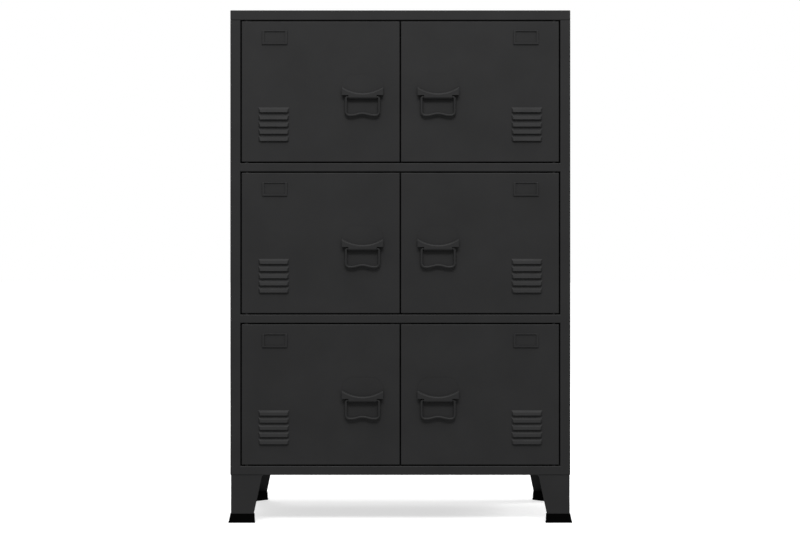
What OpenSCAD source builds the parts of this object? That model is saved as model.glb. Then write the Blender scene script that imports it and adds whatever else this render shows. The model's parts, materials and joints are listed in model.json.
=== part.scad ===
// Tall cabinet of folded sheet steel: three rows of paired doors on four tapered angle legs.
// +X runs to the right of the front, +Y to the back and +Z up, and the floor is Z = 0.
// Sub-parts are drawn with the front face of the body on Y = 0; placed() then centres the object.
// Sub-parts that come in mirrored pairs are drawn on the left, and to_side() mirrors them.

/* [Body] */
// Width of the body
body_w = 750; // [600:10:900]
// Depth of the body, with its back panel
body_d = 400; // [300:10:500]
// Height of the body without its legs
body_h = 1025; // [850:5:1250]
// Thickness of the folded sheet
sheet = 1; // [0.8:0.1:1.2]
// Inside radius of the folds
bend = 1; // [0.6:0.1:1.2]

/* [Front frame] */
// Width of the stiles at the sides
stile_w = 22.5; // [20:0.5:30]
// Height of the rail above the top row
top_rail_h = 22; // [20:1:30]
// Height of the rails between the rows
mid_rail_h = 19; // [17:1:28]
// Height of the rail below the bottom row
bottom_rail_h = 20; // [17:1:30]
// Depth of the folds behind the stiles and rails
jamb_d = 16; // [15:0.5:22]

/* [Doors] */
// Gap all round a closed door
door_gap = 2.5; // [2.3:0.1:4]
// Depth of a door
door_d = 18; // [16:0.5:24]
// Width of the lips at the back of a door
door_lip = 10; // [8:0.5:14]

/* [Hinges] */
// From the hinge edge of a door to its pins' axis
pivot_x = 11; // [10.5:0.5:14]
// From the front of a door to its pins' axis
pivot_y = 7; // [6.5:0.1:7.2]
// Diameter of the hinge pins
pin_d = 5; // [3:0.5:6]

/* [Vents] */
// Vents in each door
vent_count = 5; // [1:1:7]
// Width of a vent
vent_w = 68; // [40:1:90]
// Height of a vent
vent_h = 11; // [9:0.5:13]
// How far a vent stands out
vent_out = 4.5; // [3:0.5:6]
// Height of a vent's sloping top
vent_slope = 4.5; // [3:0.5:6]
// How much less a vent stands out at the foot of its slope, as a share
vent_lean = 0.3; // [0.1:0.05:0.3]
// Spacing of the vents
vent_pitch = 15.8; // [14:0.1:20]
// From the hinge edge of a door to its vents
vent_side = 37; // [25:1:60]
// From the bottom edge of a door to its lowest vent
vent_bottom = 46; // [30:1:80]

/* [Label holders] */
// Width of a label holder
label_w = 56; // [40:1:80]
// Height of a label holder
label_h = 31; // [20:1:45]
// How far a label holder stands out
label_out = 2.6; // [2:0.1:4]
// Width of the rim at the sides of the window
label_rim = 5; // [3:0.5:8]
// Thickness of a label holder's metal
label_t = 0.8; // [0.6:0.1:1]
// From the hinge edge of a door to its label holder
label_side = 45; // [25:1:60]
// From the top edge of a door to its label holder
label_top = 20.5; // [15:0.5:40]

/* [Handles] */
// Width of a handle plate over its ears
handle_w = 91; // [85:1:110]
// From the free edge of a door to the middle of its handle
handle_side = 82; // [60:1:110]
// From the top edge of a door to the top of its handle's arch
handle_drop = 117.5; // [90:0.5:140]
// Height of the arch above the ears
arch_h = 27; // [20:1:35]
// Height of the ears
ear_h = 19.2; // [17:0.1:24]
// How far the upper edge between the ears dips
dip = 14.5; // [10:0.5:16]
// Thickness of the plate under the arch
plate_t = 1.5; // [1:0.1:2.5]
// Diameter of the bail's wire
wire_d = 5.6; // [4:0.1:7]
// Width of the bail, between the middles of its sides
bail_w = 73; // [64:1:76]
// Height of the bail, from its axis to the middle of its grip
bail_h = 41; // [34:1:60]
// How far the middle of the grip rises
grip_rise = 4; // [2:0.5:5]

/* [Legs] */
// Height of the legs with their foot caps
leg_h = 105; // [80:5:140]
// From the outline of the body in to the legs' outer faces
leg_inset = 1.2; // [0.8:0.1:3]
// Width of a leg at its top
leg_w = 68.8; // [65.8:1:88.8]
// Width of a leg where it enters its foot cap
leg_foot_w = 50.8; // [40.8:1:58.8]
// Thickness of a leg's sheet
leg_t = 2; // [1.5:0.1:2.5]
// Height of a foot cap
cap_h = 20; // [15:1:30]
// How far a foot cap flares past the outer faces of its leg
cap_flare = 5.1; // [3:0.1:7]
// How far a foot cap runs past the inner edges of its leg
cap_over = 2.6; // [1:0.1:5]

/* [Hidden] */
$fn = 48;
paint = [0.2, 0.2, 0.205];
plastic = [0.05, 0.05, 0.05];
zinc = [0.72, 0.74, 0.76];

// Clearances
fit = 0.2;            // between pieces that slot together
turn_play = 0.05;     // round a pin or wire in its bearing
end_play = 0.1;       // along a pin, between a door and its bush
door_stand = 0.3;     // between a closed door and the magnets
hole_play = 0.2;      // round a screw in its hole
cut = 1;              // how far a cutting shape runs past the surface it cuts

// Body
fold_r = bend + sheet;
side_d = body_d - sheet;
total_h = leg_h + body_h;
side_h = body_h - top_rail_h;
side_top = leg_h + side_h;
opening_w = body_w - 2 * stile_w;
inner_w = body_w - 2 * (sheet + fit);
row_names = ["top", "middle", "bottom"];
rows = [0:len(row_names) - 1];
opening_h = (body_h - top_rail_h - bottom_rail_h - 2 * mid_rail_h) / len(row_names);
function opening_top(row) = side_top - row * (opening_h + mid_rail_h);
function opening_bottom(row) = opening_top(row) - opening_h;
shelf_front = jamb_d + fit;
shelf_back = side_d - sheet - fit;
shelf_lap = 12;       // how far a rail's deck laps over the shelf behind it
back_inset = 4;       // from the outline of the body to the back panel

// Doors and hinges
door_w = (opening_w - 3 * door_gap) / 2;
door_h = opening_h - 2 * door_gap;
door_left = -opening_w / 2 + door_gap;
pin_r = pin_d / 2;
pin_shoulder = 1.3;   // how far a pin's collar and head stand out past it
pin_head_r = pin_r + pin_shoulder;
pin_head_t = 2;
bush_bore_r = pin_r + turn_play;
bush_wall = 1;
bush_rim_w = 1.2;
bush_r = bush_bore_r + bush_wall;
bush_rim_r = bush_r + bush_rim_w;
bush_rim_t = 1;
bush_tail = 1.5;      // how far a bush runs past the sheet it sits in
collar_t = door_gap - bush_rim_t - end_play;
pin_reach = door_gap + sheet + bush_tail;
flange_clear = 1.2;   // from a bush's rim to the flange of a side panel
flange_w = stile_w + door_gap + pivot_x - bush_rim_r - flange_clear;

// Handle plate and bail; their own origin is on the front of the door, level with the ears' tops
ear_w = 14.5;
ear_drop = 0.5;       // how far the ends of the dip lie below the springing of the arch
barrel_l = handle_w - 2 * ear_w;
barrel_wall = 2.15;
barrel_r = wire_d / 2 + turn_play + barrel_wall;
axis_out = plate_t + barrel_r;
handle_out = axis_out + barrel_r;
bail_stand = 0.5;     // between the ears and the bail when it is raised
axis_z = -ear_h - wire_d / 2 - bail_stand;
dip_sag = dip - ear_drop;
dip_r = (pow(handle_w / 2, 2) + dip_sag * dip_sag) / (2 * dip_sag);
nose_r = 4;
grip_z = axis_z - bail_h;
barrel_clear = 0.6;   // from an end of the barrel to the bail's bend beside it
top_corner_r = (bail_w - barrel_l) / 2 - barrel_clear;
grip_corner_r = 8;
wire_swell = 0.02;    // how much thicker a bend is than the rods that enter it
wire_lap = 0.05;      // how far a rod enters a bend
// Each side of the grip's wave is a bend, a straight rod that makes wave_share of the rise, and a bend
grip_straight = 4;    // between a corner and the wave
wave_run = bail_w / 2 - grip_corner_r - grip_straight;
wave_share = 0.3;
wave_ratio = wave_run / grip_rise;
wave_turn = 2 * atan((sqrt(pow(wave_ratio, 2) + wave_share * (2 - wave_share)) - wave_ratio) / wave_share);
wave_rod = wave_share * grip_rise / sin(wave_turn);
wave_r = (1 - wave_share) * grip_rise / (2 * (1 - cos(wave_turn)));
handle_screw = [handle_w / 2 - ear_w / 2, -ear_h / 2];
hole_skin = 3;        // metal left in front of a screw's hole in the plate
hole_spare = 1;       // from the end of a screw to the end of its hole
handle_hole_d = handle_out - hole_skin;
handle_screw_d = handle_hole_d - hole_spare;

// Label holder
label_foot = 4.5;     // height of the rim below the window
label_head = 1.6;     // height of the rim above the window
card_gap = 1.2;

// Magnetic catches
catch_w = 46;
catch_d = 14;
catch_over = 1;       // how far a catch hangs below the lips of the doors
catch_up = 5;         // how far it reaches above the opening
catch_drop = door_gap + door_lip + catch_over;
catch_y = door_d + 2 * door_stand;
catch_h = catch_drop + catch_up;
magnet_size = [14, 3, 7];

// Legs, foot caps and fasteners
leg_bend = 1.5;       // inside radius of a leg's fold
leg_bend_r = leg_t + leg_bend;
gusset = 16;          // width of the ends of the flange on top of a leg
cap_sole = 5;         // the leg stands on the sole inside its cap
cap_base = 3;         // height of the upright edge at the bottom of a cap
cap_rim = 1;          // wall of a cap at its upper edge
cap_end = 7;          // width of a cap at its two ends
cap_step = 0.7;       // from the upright edge of a cap in to its taper
leg_bolts_at = [for (y = [30, 56]) [13, y]];
bolt_r = 3;
bolt_head_r = 5.2;
bolt_head_t = 3.4;
nut_w = 10;
nut_t = 4;
bolt_past = 1.5;      // how far a bolt runs past its nut
screw_r = 2;
screw_head_r = 3.6;
screw_head_t = 2.2;
screw_past = 5;       // how far a screw runs past the two sheets that it joins
crown = 0.65;         // top of a domed head, as a share of its width
top_screw_x = 9;
top_screw_in = 36;    // from the front and back of the top to its nearest screws
top_screws_at = [for (y = [top_screw_in, side_d / 2, side_d - top_screw_in]) [top_screw_x, y]];
back_columns = 5;
back_screw_in = stile_w / 2;
back_screw_end = 20;  // from the ends of a column to its first and last screws

sides = [["left", -1], ["right", 1]];
ends = [["front", 0], ["rear", 1]];

function door_id(row, side) = str(row_names[row], "_", side[0]);
function corner_id(end, side) = str(end[0], "_", side[0]);
DOOR_PARTS = ["door", "label_holder", "handle_plate", "handle_bail", "handle_screws", "hinge_pins"];

// Placing

module placed() {
  translate([0, (handle_out - body_d - cap_flare + leg_inset) / 2, 0]) children();
}

module to_side(side) {
  mirror([side[1] > 0 ? 1 : 0, 0, 0]) children();
}

// A leg's corner, with its outer faces on X = 0 and Y = 0 and +X and +Y running inwards
module to_corner(end, side) {
  to_side(side)
    translate([-body_w / 2, end[1] * body_d, 0])
      mirror([0, end[1], 0]) translate([leg_inset, leg_inset, 0]) children();
}

// The front of a left door, with its origin at the hinge edge, on the lower edge
module on_door(row) {
  translate([door_left, 0, opening_bottom(row) + door_gap]) children();
}

module on_handle(row) {
  on_door(row) translate([door_w - handle_side, 0, door_h - handle_drop - arch_h]) children();
}

// An outline in X and Z, drawn from Y = y over a depth
module from_front(y, depth) {
  translate([0, y + depth, 0]) rotate([90, 0, 0]) linear_extrude(depth) children();
}

// An outline in Y and Z, drawn from X = x over a length
module along_x(x, length) {
  translate([x, 0, 0]) rotate([90, 0, 90]) linear_extrude(length) children();
}

// Folded sheet

module rounded(w, h, r) {
  translate([r, 0]) square([w - 2 * r, h]);
  translate([0, r]) square([w, h - 2 * r]);
  for (x = [r, w - r], y = [r, h - r]) translate([x, y]) circle(r);
}

// Box section with a wall of one sheet
module box_section(w, h) {
  difference() {
    rounded(w, h, fold_r);
    translate([sheet, sheet]) rounded(w - 2 * sheet, h - 2 * sheet, bend);
  }
}

// Block with rounded edges, centred on X and Y and standing on Z = 0
module slab(w, d, h, r) {
  intersection() {
    translate([-w / 2, d / 2, 0]) rotate([90, 0, 0]) linear_extrude(d) rounded(w, h, r);
    translate([0, -d / 2, 0]) along_x(-w / 2, w) rounded(d, h, r);
    translate([-w / 2, -d / 2, 0]) linear_extrude(h) rounded(w, d, r);
  }
}

// Pan with four walls and a lip all round its open underside
module pan(w, d, h, lip) {
  difference() {
    slab(w, d, h, fold_r);
    translate([0, 0, sheet]) slab(w - 2 * sheet, d - 2 * sheet, h - 2 * sheet, bend);
    translate([lip - w / 2, lip - d / 2, -cut]) cube([w - 2 * lip, d - 2 * lip, cut + fold_r]);
  }
}

// Tray with four walls, open below
module tray(w, d, h) {
  intersection() {
    translate([0, 0, -fold_r]) pan(w, d, h + fold_r, sheet);
    translate([-w / 2, -d / 2, 0]) cube([w, d, h]);
  }
}

// Plan of a side panel: stile and jamb in front, a flange behind
module side_section() {
  intersection() {
    box_section(stile_w, side_d);
    square([stile_w, jamb_d]);
  }
  intersection() {
    box_section(2 * stile_w, side_d);
    translate([0, jamb_d]) square([stile_w, side_d]);
  }
}

// Rail seen from its end: front, deck and return lip
module rail_section(h) {
  intersection() {
    box_section(2 * jamb_d, h);
    square([jamb_d, h]);
  }
  translate([jamb_d, h - sheet]) square([shelf_lap, sheet]);
}

// Rail between the stiles, its ends coped to the stiles' folds
module rail(h) {
  difference() {
    along_x(-opening_w / 2 - sheet, opening_w + 2 * sheet) rail_section(h);
    for (side = sides) to_side(side)
      translate([-body_w / 2, 0, -cut]) linear_extrude(h + 2 * cut) rounded(stile_w, side_d, fold_r);
  }
}

module hinge_holes(z, h, r) {
  for (side = sides) to_side(side)
    translate([door_left + pivot_x, pivot_y, z]) cylinder(r = r, h = h);
}

// Body

module top_panel() {
  color(paint) placed() difference() {
    translate([0, side_d / 2, side_top]) pan(body_w, side_d, top_rail_h, jamb_d);
    hinge_holes(side_top - cut, sheet + 2 * cut, bush_r);
    for (side = sides, at = top_screws_at) to_side(side)
      translate([at[0] - body_w / 2, at[1], side_top - cut])
        cylinder(r = screw_r + hole_play, h = sheet + 2 * cut);
    back_screw_holes();
  }
}

// Flange at an end of a side panel: inside the stile in front, and wider behind the rails
module side_flange() {
  translate([0, sheet, 0]) cube([stile_w - 2 * sheet, side_d - 2 * sheet, sheet]);
  translate([0, shelf_front, 0]) cube([flange_w - sheet, side_d - sheet - shelf_front, sheet]);
}

module side_panel(side) {
  color(paint) placed() to_side(side) difference() {
    intersection() {
      union() {
        translate([-body_w / 2, 0, leg_h]) linear_extrude(side_h) side_section();
        for (z = [leg_h, side_top - sheet]) translate([sheet - body_w / 2, 0, z]) side_flange();
      }
      translate([0, side_d / 2, leg_h]) slab(body_w, side_d, side_h + 2 * fold_r, fold_r);
    }
    for (at = top_screws_at)
      translate([at[0] - body_w / 2, at[1], side_top - sheet - cut])
        cylinder(r = screw_r + hole_play, h = sheet + 2 * cut);
    leg_bolt_holes();
    back_screw_holes();
  }
}

module bottom_panel() {
  color(paint) placed() difference() {
    union() {
      translate([0, 0, leg_h]) rail(bottom_rail_h);
      translate([0, (shelf_front + shelf_back) / 2, leg_h + sheet])
        pan(inner_w, shelf_back - shelf_front, bottom_rail_h - sheet, jamb_d);
    }
    hinge_holes(leg_h + bottom_rail_h - sheet - cut, sheet + 2 * cut, bush_r);
    leg_bolt_holes();
  }
}

// Shelf with the rail above a row: row 1 gives the upper shelf and row 2 the lower one
module shelf(row) {
  z = opening_top(row);
  color(paint) placed() difference() {
    union() {
      translate([0, 0, z]) rail(mid_rail_h);
      translate([0, (shelf_front + shelf_back) / 2, z])
        tray(inner_w, shelf_back - shelf_front, mid_rail_h);
    }
    hinge_holes(z - cut, mid_rail_h + 2 * cut, bush_r);
  }
}

module back_panel() {
  color(paint) placed() difference() {
    from_front(side_d, sheet)
      translate([back_inset - body_w / 2, leg_h + back_inset])
        rounded(body_w - 2 * back_inset, body_h - 2 * back_inset, fold_r);
    back_screw_holes();
  }
}

// Screws of the back panel: a column at each side and a row along the top
module at_back_screws() {
  low = leg_h + back_inset + back_screw_end;
  high = side_top - back_screw_end;
  for (side = sides, i = [0:back_columns - 1]) to_side(side)
    translate([back_screw_in - body_w / 2, body_d, low + i * (high - low) / (back_columns - 1)])
      rotate([90, 0, 0]) children();
  for (i = [-1:1])
    translate([i * body_w / 4, body_d, side_top + top_rail_h / 2]) rotate([90, 0, 0]) children();
}

module back_screw_holes() {
  at_back_screws() translate([0, 0, -cut]) cylinder(r = screw_r + hole_play, h = 2 * sheet + 2 * cut);
}

// Domed screw with its head on Z = 0 and its shank running up +Z
module screw(length) {
  cylinder(r = screw_r, h = length);
  translate([0, 0, -screw_head_t / 2]) cylinder(r = screw_head_r, h = screw_head_t / 2);
  translate([0, 0, -screw_head_t])
    cylinder(r1 = crown * screw_head_r, r2 = screw_head_r, h = screw_head_t / 2);
}

module back_screws() {
  color(zinc) placed() at_back_screws() screw(2 * sheet + screw_past);
}

module top_screws() {
  color(zinc) placed()
    for (side = sides, at = top_screws_at) to_side(side)
      translate([at[0] - body_w / 2, at[1], side_top - sheet]) screw(2 * sheet + screw_past);
}

// Legs

module angle_section(play) {
  size = 2 * leg_w;
  intersection() {
    difference() {
      translate([-play, -play]) rounded(size, size, leg_bend_r);
      translate([leg_t + play, leg_t + play]) rounded(size, size, leg_bend_r - leg_t);
    }
    translate([-play, -play]) square([leg_w + play, leg_w + play]);
  }
}

// Outline of a leg's tapered side, from its outer face on 0
module leg_taper(play) {
  slope = (leg_w - leg_foot_w) / (leg_h - cap_h);
  foot = leg_foot_w - slope * (cap_h - cap_sole);
  polygon([[-play, cap_sole], [foot + play, cap_sole], [leg_w + play, leg_h], [-play, leg_h]]);
}

module leg_shape(play) {
  intersection() {
    translate([0, 0, cap_sole]) linear_extrude(leg_h - cap_sole) angle_section(play);
    from_front(-play, leg_w + 2 * play) leg_taper(play);
    along_x(-play, leg_w + 2 * play) leg_taper(play);
  }
}

module leg(end, side) {
  color(paint) placed() to_corner(end, side) difference() {
    union() {
      leg_shape(0);
      translate([0, 0, leg_h - leg_t]) linear_extrude(leg_t)
        polygon([[leg_t, leg_t], [leg_w, leg_t], [leg_w, gusset], [gusset, leg_w], [leg_t, leg_w]]);
    }
    for (at = leg_bolts_at)
      translate([at[0], at[1], leg_h - leg_t - cut]) cylinder(r = bolt_r + hole_play, h = leg_t + 2 * cut);
  }
}

module leg_bolt_holes() {
  for (end = ends, side = sides) to_corner(end, side)
    for (at = leg_bolts_at)
      translate([at[0], at[1], leg_h - cut]) cylinder(r = bolt_r + hole_play, h = 2 * sheet + 2 * cut);
}

module leg_bolts() {
  color(zinc) placed()
    for (end = ends, side = sides, at = leg_bolts_at) to_corner(end, side)
      translate([at[0], at[1], leg_h - leg_t]) {
        cylinder(r = bolt_r, h = leg_t + 2 * sheet + nut_t + bolt_past);
        translate([0, 0, -bolt_head_t / 2]) cylinder(r = bolt_head_r, h = bolt_head_t / 2);
        translate([0, 0, -bolt_head_t])
          cylinder(r1 = crown * bolt_head_r, r2 = bolt_head_r, h = bolt_head_t / 2);
      }
}

module leg_nuts() {
  color(zinc) placed()
    for (end = ends, side = sides, at = leg_bolts_at) to_corner(end, side)
      translate([at[0], at[1], leg_h + 2 * sheet]) difference() {
        cylinder(d = nut_w / cos(30), h = nut_t, $fn = 6);
        translate([0, 0, -cut]) cylinder(r = bolt_r + turn_play, h = nut_t + 2 * cut);
      }
}

// Outline of a cap's side: an upright edge at the floor, then a taper to the leg
module cap_side() {
  end = leg_foot_w + cap_over;
  polygon([
    [-cap_flare, 0], [end, 0], [end, cap_base], [end - cap_step, cap_base],
    [leg_foot_w + cap_rim, cap_h], [-cap_rim, cap_h],
    [cap_step - cap_flare, cap_base], [-cap_flare, cap_base]
  ]);
}

module foot_cap(end, side) {
  reach = leg_foot_w + cap_over;
  color(plastic) placed() to_corner(end, side) difference() {
    intersection() {
      from_front(-cap_flare, reach + cap_flare) cap_side();
      along_x(-cap_flare, reach + cap_flare) cap_side();
      linear_extrude(cap_h)
        polygon([
          [-cap_flare, -cap_flare], [reach, -cap_flare], [reach, cap_end],
          [cap_end, reach], [-cap_flare, reach]
        ]);
    }
    leg_shape(turn_play);
  }
}

// Doors

// Section of a vent, from its lower edge: a sloping top over a face that leans outwards.
// t is taken off its outer faces, and opens it below
module vent_section(t) {
  low = t > 0 ? -cut : 0;
  knee_out = (1 - vent_lean) * vent_out;
  slope = knee_out / vent_slope;
  lean = (vent_out - knee_out) / (vent_h - vent_slope);
  slope_t = t * sqrt(1 + slope * slope);
  face_t = t * sqrt(1 + lean * lean);
  knee = (slope * vent_h - vent_out + face_t - slope_t) / (slope - lean);
  polygon([
    [face_t + lean * low - vent_out, low], [0, low], [0, 0], [sheet + t, 0],
    [sheet + t, vent_h + (sheet + t - slope_t) / slope], [face_t + lean * knee - vent_out, knee]
  ]);
}

module vent_plan(t) {
  half = vent_w / 2 - t * sqrt(2);
  polygon([[-half, sheet + t], [-half, 0], [vent_out - half, -vent_out],
    [half - vent_out, -vent_out], [half, 0], [half, sheet + t]]);
}

module vent(t) {
  intersection() {
    along_x(-vent_w / 2, vent_w) vent_section(t);
    translate([0, 0, -cut]) linear_extrude(vent_h + 2 * cut) vent_plan(t);
  }
}

module at_vents() {
  for (i = [0:vent_count - 1])
    translate([vent_side + vent_w / 2, 0, vent_bottom + i * vent_pitch]) children();
}

module door(row, side) {
  color(paint) placed() to_side(side) difference() {
    union() {
      on_door(row) translate([door_w / 2, door_d, door_h / 2])
        rotate([90, 0, 0]) pan(door_w, door_h, door_d, door_lip);
      on_door(row) at_vents() intersection() {
        vent(0);
        translate([-vent_w, -vent_out - cut, 0]) cube([2 * vent_w, vent_out + cut + sheet, vent_h]);
      }
    }
    on_door(row) at_vents() vent(sheet);
    on_door(row) translate([pivot_x, pivot_y, -cut])
      cylinder(r = pin_r + turn_play, h = door_h + 2 * cut);
    on_handle(row) at_handle_screws() cylinder(r = screw_r + hole_play, h = 4 * sheet, center = true);
  }
}

module hinge_pins(row, side) {
  color(zinc) placed() to_side(side) on_door(row) translate([pivot_x, pivot_y, 0]) {
    hinge_pin();
    translate([0, 0, door_h]) mirror([0, 0, 1]) hinge_pin();
  }
}

// Pin through a door's lower wall, with a collar outside and a head inside
module hinge_pin() {
  translate([0, 0, -pin_reach]) cylinder(r = pin_r, h = pin_reach + sheet + pin_head_t);
  translate([0, 0, -collar_t]) cylinder(r = pin_head_r, h = collar_t);
  translate([0, 0, sheet]) cylinder(r = pin_head_r, h = pin_head_t);
}

// Bush in the deck below a door, its rim on Z = 0
module hinge_bush() {
  difference() {
    union() {
      cylinder(r = bush_rim_r, h = bush_rim_t);
      translate([0, 0, -sheet - bush_tail]) cylinder(r = bush_r, h = sheet + bush_tail + bush_rim_t);
    }
    translate([0, 0, -sheet - bush_tail - cut])
      cylinder(r = bush_bore_r, h = sheet + bush_tail + bush_rim_t + 2 * cut);
  }
}

module hinge_bushes() {
  color(plastic) placed()
    for (row = rows, side = sides) to_side(side) translate([door_left + pivot_x, pivot_y, 0]) {
      translate([0, 0, opening_bottom(row)]) hinge_bush();
      translate([0, 0, opening_top(row)]) mirror([0, 0, 1]) hinge_bush();
    }
}

// Frame with a window, closed at its sides and foot and open at its head for the card
module label_holder(row, side) {
  window_w = label_w - 2 * label_rim;
  window_h = label_h - label_foot - label_head;
  color(paint) placed() to_side(side) on_door(row)
    translate([label_side + label_w / 2, 0, door_h - label_top - label_h]) difference() {
      translate([0, 0, label_h / 2]) rotate([90, 0, 0]) translate([0, 0, -label_out]) difference() {
        slab(label_w, label_h, 2 * label_out, label_out / 2);
        translate([0, 0, -cut]) linear_extrude(label_out + cut) square(2 * label_w, center = true);
      }
      translate([label_t - label_w / 2, -card_gap, label_t]) cube([label_w - 2 * label_t, card_gap + cut, label_h]);
      translate([-window_w / 2, -label_out - cut, label_foot]) cube([window_w, label_out + 2 * cut, window_h]);
    }
}

// Handles

module at_handle_screws() {
  for (x = [-1, 1])
    translate([x * handle_screw[0], 0, handle_screw[1]]) rotate([90, 0, 0]) children();
}

module plate_outline() {
  intersection() {
    union() {
      translate([-handle_w / 2, -ear_h]) square([handle_w, ear_h]);
      translate([arch_h - handle_w / 2, 0]) square([handle_w - 2 * arch_h, arch_h]);
      for (x = [-1, 1]) translate([x * (handle_w / 2 - arch_h), 0]) circle(arch_h);
    }
    translate([-handle_w / 2, -ear_h]) square([handle_w, ear_h + arch_h]);
  }
  translate([-barrel_l / 2, axis_z]) square([barrel_l, -axis_z]);
}

// Face between the ears, down to the axis of the bail
module saddle_outline() {
  translate([-handle_w / 2, -ear_h]) square([handle_w, ear_h + cut]);
  translate([-barrel_l / 2, axis_z]) square([barrel_l, -axis_z]);
}

// Ring round the middle of the dip, with a rounded nose: its inner edge is the ridge
module dip_ring() {
  translate([0, 0, dip_r - dip]) rotate([90, 0, 0]) rotate_extrude($fn = 192) {
    translate([dip_r, 0]) square([-axis_z + nose_r, handle_out - nose_r]);
    translate([dip_r + nose_r, 0]) square([-axis_z, handle_out]);
    translate([dip_r + nose_r, handle_out - nose_r]) circle(nose_r);
  }
}

module handle_plate(row, side) {
  color(paint) placed() to_side(side) on_handle(row) difference() {
    union() {
      from_front(-plate_t, plate_t) plate_outline();
      intersection() {
        dip_ring();
        from_front(-handle_out, handle_out) saddle_outline();
      }
      translate([-barrel_l / 2, -axis_out, axis_z]) rotate([0, 90, 0]) cylinder(r = barrel_r, h = barrel_l);
    }
    translate([-barrel_l / 2 - cut, -axis_out, axis_z])
      rotate([0, 90, 0]) cylinder(r = wire_d / 2 + turn_play, h = barrel_l + 2 * cut);
    at_handle_screws() translate([0, 0, -cut]) cylinder(r = screw_r + turn_play, h = handle_hole_d + cut);
  }
}

module handle_screws(row, side) {
  color(zinc) placed() to_side(side) on_handle(row)
    at_handle_screws() translate([0, 0, -sheet]) screw(sheet + handle_screw_d);
}

// Wire bent round a centre, from one direction to another, a hair thicker than the rods that enter it
module wire_bend(x, z, r, from, to) {
  translate([x, -axis_out, z]) rotate([90, 0, 0]) rotate([0, 0, from])
    rotate_extrude(angle = to - from) translate([r, 0]) circle(wire_d / 2 + wire_swell);
}

// Straight wire in a direction that turns from +X to +Z
module wire_rod(x, z, direction, length) {
  translate([x, -axis_out, z]) rotate([0, 90 - direction, 0])
    translate([0, 0, -wire_lap]) cylinder(r = wire_d / 2, h = length + 2 * wire_lap);
}

// Right half of the bail without its axis: side, corner and half of the waved grip
module bail_half() {
  half = bail_w / 2;
  wire_bend(half - top_corner_r, axis_z - top_corner_r, top_corner_r, 0, 90);
  wire_rod(half, grip_z + grip_corner_r, 90, bail_h - grip_corner_r - top_corner_r);
  wire_bend(half - grip_corner_r, grip_z + grip_corner_r, grip_corner_r, 270, 360);
  wire_rod(wave_run, grip_z, 0, half - grip_corner_r - wave_run);
  wire_bend(wave_run, grip_z + wave_r, wave_r, 270 - wave_turn, 270);
  wire_rod(wave_run - wave_r * sin(wave_turn), grip_z + wave_r * (1 - cos(wave_turn)),
    180 - wave_turn, wave_rod);
}

module handle_bail(row, side) {
  color(paint) placed() to_side(side) on_handle(row) {
    wire_rod(top_corner_r - bail_w / 2, axis_z, 0, bail_w - 2 * top_corner_r);
    for (x = [0, 1]) mirror([x, 0, 0]) bail_half();
    wire_bend(0, grip_z + grip_rise - wave_r, wave_r, 90 - wave_turn, 90 + wave_turn);
  }
}

// Magnetic catches, one behind the middle of each row's upper edge

// Height from the opening's upper edge to the sheet that the catch hangs from
function hang(row) = (row == 0 ? top_rail_h : mid_rail_h) - sheet;

module at_catches() {
  for (row = rows) translate([0, catch_y, opening_top(row)]) {
    $hang = hang(row);
    children();
  }
}

module catch_brackets() {
  color(zinc) placed() at_catches() {
    translate([-catch_w / 2, catch_d, -catch_drop]) cube([catch_w, sheet, catch_drop + $hang]);
    translate([-catch_w / 2, 0, $hang - sheet]) cube([catch_w, catch_d + sheet, sheet]);
  }
}

module catch_housings() {
  color("dimgray") placed() at_catches() difference() {
    translate([-catch_w / 2, 0, -catch_drop]) cube([catch_w, catch_d, catch_h]);
    at_magnets();
  }
}

module at_magnets() {
  for (x = [-1, 1])
    translate([x * catch_w / 4 - magnet_size[0] / 2, -door_stand, -door_gap - door_lip / 2 - magnet_size[2] / 2])
      cube(magnet_size);
}

module catch_magnets() {
  color("black") placed() at_catches() at_magnets();
}

top_panel();
bottom_panel();
back_panel();
shelf(1);  // shelf_upper
shelf(2);  // shelf_lower
hinge_bushes();
catch_brackets();
catch_housings();
catch_magnets();
leg_bolts();
leg_nuts();
top_screws();
back_screws();
for (side = sides) {
  side_panel(side);
}
for (end = ends, side = sides) {
  leg(end, side);
  foot_cap(end, side);
}
for (row = rows, side = sides) {
  door(row, side);
  label_holder(row, side);
  handle_plate(row, side);
  handle_bail(row, side);
  handle_screws(row, side);
  hinge_pins(row, side);
}
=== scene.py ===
import json
import math

import bmesh
import bpy
from mathutils import Matrix, Vector


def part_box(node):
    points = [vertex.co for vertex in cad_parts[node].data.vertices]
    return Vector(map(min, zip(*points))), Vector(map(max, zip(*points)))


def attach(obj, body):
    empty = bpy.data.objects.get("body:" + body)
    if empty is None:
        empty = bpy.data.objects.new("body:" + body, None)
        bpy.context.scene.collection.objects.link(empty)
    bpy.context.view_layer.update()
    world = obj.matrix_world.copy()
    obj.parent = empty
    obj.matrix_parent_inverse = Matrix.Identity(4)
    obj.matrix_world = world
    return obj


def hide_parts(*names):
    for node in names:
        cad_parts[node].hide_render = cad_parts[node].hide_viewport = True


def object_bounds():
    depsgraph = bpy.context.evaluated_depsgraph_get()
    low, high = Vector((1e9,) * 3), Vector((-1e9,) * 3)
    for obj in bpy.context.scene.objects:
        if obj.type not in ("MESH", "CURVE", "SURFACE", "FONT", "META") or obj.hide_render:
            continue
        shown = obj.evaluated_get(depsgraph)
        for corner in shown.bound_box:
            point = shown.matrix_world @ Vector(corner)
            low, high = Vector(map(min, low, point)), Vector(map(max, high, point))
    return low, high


MM = 0.001
SAME_POINT = 1e-6            # metres: vertices nearer than this are one
WHITE = (1, 1, 1, 1)

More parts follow.
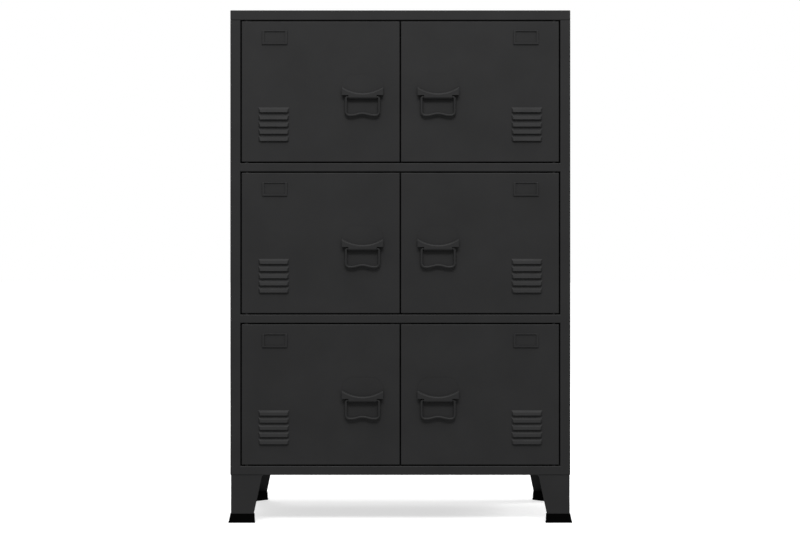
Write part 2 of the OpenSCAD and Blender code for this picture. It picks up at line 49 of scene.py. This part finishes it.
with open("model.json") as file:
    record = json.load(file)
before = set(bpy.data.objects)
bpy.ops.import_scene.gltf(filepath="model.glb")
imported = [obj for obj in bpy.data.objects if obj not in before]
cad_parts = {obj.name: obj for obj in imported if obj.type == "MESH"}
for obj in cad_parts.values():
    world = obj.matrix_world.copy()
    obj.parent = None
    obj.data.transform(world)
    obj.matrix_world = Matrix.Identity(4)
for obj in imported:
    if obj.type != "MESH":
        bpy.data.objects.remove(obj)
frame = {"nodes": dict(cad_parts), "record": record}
cad_low, cad_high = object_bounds()
nodes = frame["nodes"]
slot_of = {part["node"]: part["material_slot"] for part in frame["record"]["subparts"]}
body_of_node = {
    node: body for body, members in frame["record"]["behaviour"]["bodies"].items() for node in members
}


# Materials: every one is procedural, with its detail at real scale in the object's own coordinates

TEXTURE_LOW, TEXTURE_HIGH = 0.3, 0.7          # most of a noise texture lies between these


class Surface:
    """A Principled material and short ways to add texture nodes to it."""

    def __init__(self, name, color, roughness, metallic=0.0, specular=0.5):
        self.material = bpy.data.materials.new(name)
        self.material.use_nodes = True
        self.nodes = self.material.node_tree.nodes
        self.links = self.material.node_tree.links
        self.shader = self.nodes["Principled BSDF"]
        self.shader.inputs["Base Color"].default_value = (*color, 1)
        self.shader.inputs["Roughness"].default_value = roughness
        self.shader.inputs["Metallic"].default_value = metallic
        self.shader.inputs["Specular IOR Level"].default_value = specular
        self.coordinates = self.nodes.new("ShaderNodeTexCoord").outputs["Object"]
        self.normal = None

    def noise(self, size, detail=2.0, rough=0.5, stretch=(1, 1, 1)):
        """Noise whose spots are about size across, in metres."""
        mapping = self.nodes.new("ShaderNodeMapping")
        mapping.inputs["Scale"].default_value = stretch
        texture = self.nodes.new("ShaderNodeTexNoise")
        texture.inputs["Scale"].default_value = 1 / size
        texture.inputs["Detail"].default_value = detail
        texture.inputs["Roughness"].default_value = rough
        self.links.new(self.coordinates, mapping.inputs["Vector"])
        self.links.new(mapping.outputs["Vector"], texture.inputs["Vector"])
        return texture.outputs["Fac"]

    def cells(self, size):
        """Distance inside cells that are about size across, in metres."""
        texture = self.nodes.new("ShaderNodeTexVoronoi")
        texture.inputs["Scale"].default_value = 1 / size
        self.links.new(self.coordinates, texture.inputs["Vector"])
        return texture.outputs["Distance"]

    def vary_roughness(self, value, low, high):
        """Roughness from low to high as a texture goes from its low to its high values."""
        node = self.nodes.new("ShaderNodeMapRange")
        node.inputs["From Min"].default_value = TEXTURE_LOW
        node.inputs["From Max"].default_value = TEXTURE_HIGH
        node.inputs["To Min"].default_value = low
        node.inputs["To Max"].default_value = high
        self.links.new(value, node.inputs["Value"])
        self.links.new(node.outputs["Result"], self.shader.inputs["Roughness"])

    def vary_color(self, value, dark, light):
        """Colour from dark to light as a texture goes from its low to its high values."""
        ramp = self.nodes.new("ShaderNodeValToRGB")
        stops = ramp.color_ramp.elements
        stops[0].position, stops[1].position = TEXTURE_LOW, TEXTURE_HIGH
        stops[0].color, stops[1].color = (*dark, 1), (*light, 1)
        self.links.new(value, ramp.inputs["Fac"])
        self.links.new(ramp.outputs["Color"], self.shader.inputs["Base Color"])

    def bump(self, value, height):
        """Relief of this height in metres, on top of any relief added before."""
        node = self.nodes.new("ShaderNodeBump")
        node.inputs["Strength"].default_value = 1
        node.inputs["Distance"].default_value = height
        self.links.new(value, node.inputs["Height"])
        if self.normal:
            self.links.new(self.normal, node.inputs["Normal"])
        self.normal = node.outputs["Normal"]
        self.links.new(self.normal, self.shader.inputs["Normal"])


def powder_coat():
    """Matt black powder coat: faint clouds, and orange peel over a very fine sandy grain."""
    s = Surface("black_powder_coat", (0.025, 0.025, 0.0255), roughness=0.58, specular=0.22)
    s.vary_color(s.noise(0.09, detail=3), dark=(0.023, 0.023, 0.0235), light=(0.027, 0.027, 0.0275))
    s.vary_roughness(s.noise(0.035, detail=3), low=0.54, high=0.62)
    s.bump(s.noise(2.2 * MM, detail=1), height=0.016 * MM)
    s.bump(s.noise(0.45 * MM, detail=2), height=0.018 * MM)
    return s.material


PLASTIC_VARIES = 0.05        # how far a plastic's roughness goes up and down


def moulded_plastic(name, color, roughness, grain, specular=0.35):
    """Moulded plastic with a fine spark-eroded grain."""
    s = Surface(name, color, roughness, specular=specular)
    clouds = s.noise(6 * MM, detail=3)
    s.vary_roughness(clouds, low=roughness - PLASTIC_VARIES, high=roughness + PLASTIC_VARIES)
    s.bump(s.noise(grain, detail=3, rough=0.7), height=0.02 * MM)
    return s.material


def black_zinc():
    """Black zinc plate: dark and satin, with faint clouds."""
    s = Surface("black_zinc", (0.03, 0.03, 0.031), roughness=0.45, specular=0.4)
    s.vary_color(s.noise(2 * MM, detail=3), dark=(0.022, 0.022, 0.023), light=(0.038, 0.038, 0.04))
    s.bump(s.noise(0.5 * MM, detail=2), height=0.006 * MM)
    return s.material


def zinc_plate():
    """Bright zinc plate: faint clouds of blue passivation and a fine grain."""
    s = Surface("zinc_plate", (0.6, 0.61, 0.62), roughness=0.32, metallic=1)
    s.vary_color(s.noise(3 * MM, detail=3), dark=(0.52, 0.54, 0.58), light=(0.66, 0.66, 0.64))
    s.vary_roughness(s.noise(1.2 * MM, detail=4), low=0.26, high=0.42)
    s.bump(s.noise(0.5 * MM, detail=2), height=0.006 * MM)
    return s.material


def ferrite():
    """Ground ferrite: dark, with grinding lines and small pits."""
    s = Surface("ground_ferrite", (0.035, 0.034, 0.034), roughness=0.42, specular=0.6)
    s.vary_color(s.noise(1.5 * MM, detail=4), dark=(0.026, 0.025, 0.026), light=(0.05, 0.048, 0.047))
    s.bump(s.noise(0.5 * MM, stretch=(1, 1, 12)), height=0.012 * MM)
    s.bump(s.cells(0.7 * MM), height=0.01 * MM)
    return s.material


MATERIALS = {
    "black_paint": powder_coat(),
    "foot_plastic": moulded_plastic(
        "black_foot_plastic", (0.0006, 0.0006, 0.0006), roughness=0.75, grain=0.35 * MM, specular=0.03
    ),
    "zinc_steel": zinc_plate(),
    "nylon": moulded_plastic("black_nylon", (0.012, 0.012, 0.012), roughness=0.42, grain=0.4 * MM),
    "catch_plastic": moulded_plastic(
        "dark_catch_plastic", (0.022, 0.022, 0.023), roughness=0.45, grain=0.3 * MM
    ),
    "magnet": ferrite(),
}

# The hinge pins are seen through the gaps round the doors, so their plating is black
PIN_PLATE = black_zinc()


def paint(piece, slot, material=None):
    """Gives a piece the material of its slot, or another material."""
    piece.data.materials.clear()
    piece.data.materials.append(material or MATERIALS[slot])


# Edges of the CAD pieces: real sheet edges and castings are never knife sharp

EDGE = {"handle_plate": 0.5 * MM, "foot_cap": 0.5 * MM, "leg": 0.25 * MM, "label_holder": 0.15 * MM}
SHEET_EDGE = 0.2 * MM
FLAT_WITHIN = 0.3            # degrees: faces that turn less than this are one flat face
ROUNDED_FROM = 22            # degrees: edges that turn more than this are rounded
EDGE_SEGMENTS = 2
LARGE_FACE_WEIGHT = 80       # how much the large faces keep the shading of their edges flat


def edge_width(name):
    """Width of a node's rounded edges."""
    return next((width for kind, width in EDGE.items() if name.startswith(kind + "_")), SHEET_EDGE)


def soften(piece, width):
    """Joins the faces' meshes, then rounds each sharp edge."""
    weld = piece.modifiers.new("weld", "WELD")
    weld.merge_threshold = SAME_POINT
    flat = piece.modifiers.new("flat", "DECIMATE")
    flat.decimate_type = "DISSOLVE"
    flat.angle_limit = math.radians(FLAT_WITHIN)
    bevel = piece.modifiers.new("edges", "BEVEL")
    bevel.width = width
    bevel.segments = EDGE_SEGMENTS
    bevel.limit_method = "ANGLE"
    bevel.angle_limit = math.radians(ROUNDED_FROM)
    bevel.use_clamp_overlap = True
    shade = piece.modifiers.new("shade", "WEIGHTED_NORMAL")
    shade.keep_sharp = False
    shade.weight = LARGE_FACE_WEIGHT


for name, piece in nodes.items():
    paint(piece, slot_of[name], PIN_PLATE if name.startswith("hinge_pins") else None)
    if not name.startswith("handle_bail"):    # a bail is bent from round wire
        soften(piece, edge_width(name))


# Screws and bolts: threads and cross recesses, in the places and sizes of the plain CAD ones

SCREW = {"head_h": 2.2 * MM, "shank_r": 2 * MM, "pitch": 0.8 * MM}
BOLT = {"head_h": 3.4 * MM, "shank_r": 3 * MM, "pitch": 1.0 * MM}
SIDES = 24                   # vertices round a ring
RINGS_PER_TURN = 4           # rings in one turn of thread
THREAD_DEPTH = 0.55          # share of the pitch
TIP_TAPER = 0.3              # how much the last turn of thread narrows, as a share
TIP_END = 0.55               # radius of the tip's end, share of the shank's radius
HEAD_EDGE = 0.06             # bevel under the head, share of its radius
HEAD_FLAT = 0.62             # radius of the flat on top, share of the head's radius
HEAD_WALL = 0.35             # height of the upright wall, share of the head's height
DOME_ANGLES = (30, 55, 75, 90)
RECESS_MOUTH = (0.5, 0.12)   # reach and half width of the cross at the top, shares of the head's radius
RECESS_FLOOR = (0.3, 0.08)   # the same at its floor
RECESS_BOTTOM = 0.35         # height of its floor, share of the head's height
SHARP_FROM = 35              # degrees: edges that turn more than this are shaded sharp
FASTENERS = {"back_screws": SCREW, "top_screws": SCREW, "leg_bolts": BOLT}
FASTENERS.update({name: SCREW for name in nodes if name.startswith("handle_screws")})


def solids(name):
    """Lowest and highest corner of each separate solid in a CAD node, sorted by place."""
    mesh = bmesh.new()
    mesh.from_mesh(nodes[name].data)
    bmesh.ops.remove_doubles(mesh, verts=mesh.verts, dist=SAME_POINT)
    left = set(mesh.verts)
    boxes = []
    while left:
        ahead, reached = [left.pop()], []
        while ahead:
            vert = ahead.pop()
            reached.append(vert.co.copy())
            found = {edge.other_vert(vert) for edge in vert.link_edges} & left
            left -= found
            ahead += found
        axes = list(zip(*reached))
        boxes.append((Vector([min(axis) for axis in axes]), Vector([max(axis) for axis in axes])))
    mesh.free()
    return sorted(boxes, key=lambda box: tuple(box[0]))


def ring(mesh, z, radius):
    """A ring of vertices round Z. Its radius is a function of the share of a turn."""
    verts = []
    for turn in (i / SIDES for i in range(SIDES)):
        angle = math.tau * turn
        verts.append(mesh.verts.new((radius(turn) * math.cos(angle), radius(turn) * math.sin(angle), z)))
    return verts


def skin(mesh, rings):
    """Faces between each ring and the next."""
    for lower, upper in zip(rings, rings[1:]):
        for i in range(SIDES):
            mesh.faces.new((lower[i - 1], lower[i], upper[i], upper[i - 1]))


def cross(mesh, z, reach, half):
    """A cross of twelve vertices at height z, whose arms are twice half wide."""
    verts = []
    for quarter in range(4):
        turn = Matrix.Rotation(math.radians(90 * quarter), 3, "Z")
        for corner in ((reach, -half, z), (reach, half, z), (half, half, z)):
            verts.append(mesh.verts.new(turn @ Vector(corner)))
    return verts


def loop_edges(mesh, verts):
    """The edges of a closed loop of vertices, made where there are none."""
    pairs = zip(verts, verts[1:] + verts[:1])
    return [mesh.edges.get(pair) or mesh.edges.new(pair) for pair in pairs]


def screw_head(mesh, radius, height, shank_r):
    """Pan head over Z = 0 with a cross recess. Gives back its innermost ring, under the head."""
    edge, wall, flat = HEAD_EDGE * radius, HEAD_WALL * height, HEAD_FLAT * radius
    profile = [(shank_r, 0), (radius - edge, 0), (radius, edge), (radius, wall)]
    for angle in DOME_ANGLES:
        out, up = math.cos(math.radians(angle)), math.sin(math.radians(angle))
        profile.append((flat + (radius - flat) * out, wall + (height - wall) * up))
    rings = [ring(mesh, z, lambda turn, r=r: r) for r, z in profile]
    skin(mesh, rings)
    mouth = cross(mesh, height, *(share * radius for share in RECESS_MOUTH))
    floor = cross(mesh, RECESS_BOTTOM * height, *(share * radius for share in RECESS_FLOOR))
    bmesh.ops.bridge_loops(mesh, edges=loop_edges(mesh, rings[-1]) + loop_edges(mesh, mouth))
    bmesh.ops.bridge_loops(mesh, edges=loop_edges(mesh, mouth) + loop_edges(mesh, floor))
    mesh.faces.new(floor)
    return rings[0]


def shank(mesh, top, length, radius, pitch):
    """Threaded shank from the ring top down to Z = -length, with a tapered tip."""
    depth = THREAD_DEPTH * pitch
    rings = [top]
    for i in range(1, int(RINGS_PER_TURN * length / pitch)):
        z = -i * pitch / RINGS_PER_TURN
        tip = max(0, 1 - (length + z) / pitch)

        def thread(turn, z=z, tip=tip):
            ridge = 1 - abs(2 * ((z / pitch - turn) % 1) - 1)
            return (radius - depth * (1 - ridge)) * (1 - TIP_TAPER * tip)

        rings.append(ring(mesh, z, thread))
    rings.append(ring(mesh, -length, lambda turn: TIP_END * radius))
    skin(mesh, rings)
    mesh.faces.new(rings[-1])


def threaded(low, high, kind):
    """One fastener that fills a CAD fastener's box. Heads face the back or the floor."""
    size = high - low
    upright = size.z > size.y
    radius, length = size.x / 2, max(size.y, size.z)
    mesh = bmesh.new()
    under_head = screw_head(mesh, radius, kind["head_h"], kind["shank_r"])
    shank(mesh, under_head, length - kind["head_h"], kind["shank_r"], kind["pitch"])
    bmesh.ops.recalc_face_normals(mesh, faces=mesh.faces)
    under_head_at = (low + high) / 2
    if upright:
        under_head_at.z = low.z + kind["head_h"]
        turn = Matrix.Rotation(math.pi, 4, "X")
    else:
        under_head_at.y = high.y - kind["head_h"]
        turn = Matrix.Rotation(-math.pi / 2, 4, "X")
    mesh.transform(Matrix.Translation(under_head_at) @ turn)
    return mesh


def fasteners(name, kind):
    """A detailed piece in place of a CAD node of screws or bolts."""
    data = bpy.data.meshes.new(name + "_threaded")
    whole = bmesh.new()
    for low, high in solids(name):
        one = threaded(low, high, kind)
        one.to_mesh(data)
        one.free()
        whole.from_mesh(data)
    whole.to_mesh(data)
    whole.free()
    data.shade_smooth()
    data.set_sharp_from_angle(angle=math.radians(SHARP_FROM))
    piece = bpy.data.objects.new(name + "_threaded", data)
    bpy.context.scene.collection.objects.link(piece)
    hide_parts(name)
    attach(piece, body_of_node[name])
    paint(piece, slot_of[name])


for name, kind in FASTENERS.items():
    fasteners(name, kind)


# Camera: level and square on to the doors, so that upright edges stay parallel

LENS_MM = 81.64
DISTANCE = 4.0               # from the lens to the front of the body
EYE_HEIGHT = 0.5649          # from the floor to the lens
ASIDE = -0.0007              # from the middle of the cabinet to the lens


def square_on_camera():
    camera = bpy.data.objects.new("camera", bpy.data.cameras.new("camera"))
    camera.data.lens = LENS_MM
    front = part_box("side_panel_left")[0].y
    camera.location = (ASIDE, front - DISTANCE, EYE_HEIGHT)
    camera.rotation_euler = (math.radians(90), 0, 0)
    bpy.context.scene.collection.objects.link(camera)
    bpy.context.scene.camera = camera


square_on_camera()


# Studio: pale floor, white background and large soft lights


def point_at(light, location, target):
    """Puts a light in the scene, facing a point."""
    light.location = location
    light.rotation_euler = (Vector(target) - Vector(location)).to_track_quat("-Z", "Y").to_euler()
    bpy.context.scene.collection.objects.link(light)


def soft_box(name, size, power, location, target):
    """A rectangular light: size in metres, power in watts."""
    light = bpy.data.objects.new(name, bpy.data.lights.new(name, "AREA"))
    light.data.shape = "RECTANGLE"
    light.data.size, light.data.size_y = size
    light.data.energy = power
    point_at(light, location, target)


def sky_light(name, strength, spread, location):
    """Soft light from one direction that falls evenly on the whole floor."""
    light = bpy.data.objects.new(name, bpy.data.lights.new(name, "SUN"))
    light.data.energy = strength
    light.data.angle = math.radians(spread)
    point_at(light, location, (0, 0, 0))


def surroundings(strength):
    """White behind the object, and a dimmer even light on it."""
    world = bpy.data.worlds.new("studio")
    world.use_nodes = True
    tree = world.node_tree
    lit = tree.nodes["Background"]
    lit.inputs["Color"].default_value = WHITE
    lit.inputs["Strength"].default_value = strength
    seen = tree.nodes.new("ShaderNodeBackground")
    seen.inputs["Color"].default_value = WHITE
    path = tree.nodes.new("ShaderNodeLightPath")
    mix = tree.nodes.new("ShaderNodeMixShader")
    tree.links.new(path.outputs["Is Camera Ray"], mix.inputs[0])
    tree.links.new(lit.outputs[0], mix.inputs[1])
    tree.links.new(seen.outputs[0], mix.inputs[2])
    tree.links.new(mix.outputs[0], tree.nodes["World Output"].inputs["Surface"])
    bpy.context.scene.world = world


def pale_floor(reach, color, glow):
    """A floor that goes this far from the middle and gives off some light of its own."""
    mesh = bpy.data.meshes.new("floor")
    corners = [(-reach, -reach, 0), (reach, -reach, 0), (reach, reach, 0), (-reach, reach, 0)]
    mesh.from_pydata(corners, [], [(0, 1, 2, 3)])
    floor = bpy.data.objects.new("floor", mesh)
    bpy.context.scene.collection.objects.link(floor)
    surface = Surface("pale_floor", color, roughness=0.9, specular=0.0)
    surface.shader.inputs["Emission Color"].default_value = WHITE
    surface.shader.inputs["Emission Strength"].default_value = glow
    mesh.materials.append(surface.material)
    floor.visible_diffuse = False
    floor.visible_glossy = False


def studio():
    middle, upper_part = (0, 0, cad_high.z / 2), (0, 0, cad_high.z * 0.75)
    bpy.context.scene.view_settings.view_transform = "Standard"
    surroundings(strength=0.36)
    pale_floor(reach=60, color=(0.92, 0.92, 0.92), glow=0.62)
    sky_light("sky", strength=1.05, spread=50, location=(0, -2.6, 6))
    soft_box("front_box", size=(2.6, 1.0), power=75, location=(0, -3.2, 3.6), target=upper_part)
    # These two stand behind the doors' plane: they tell the sides and back apart, and miss the front
    soft_box("side_box", size=(1.6, 1.6), power=75, location=(4.2, 0.5, 2.4), target=middle)
    soft_box("back_box", size=(2.4, 1.2), power=40, location=(-1.4, 3.8, 3.2), target=upper_part)


studio()
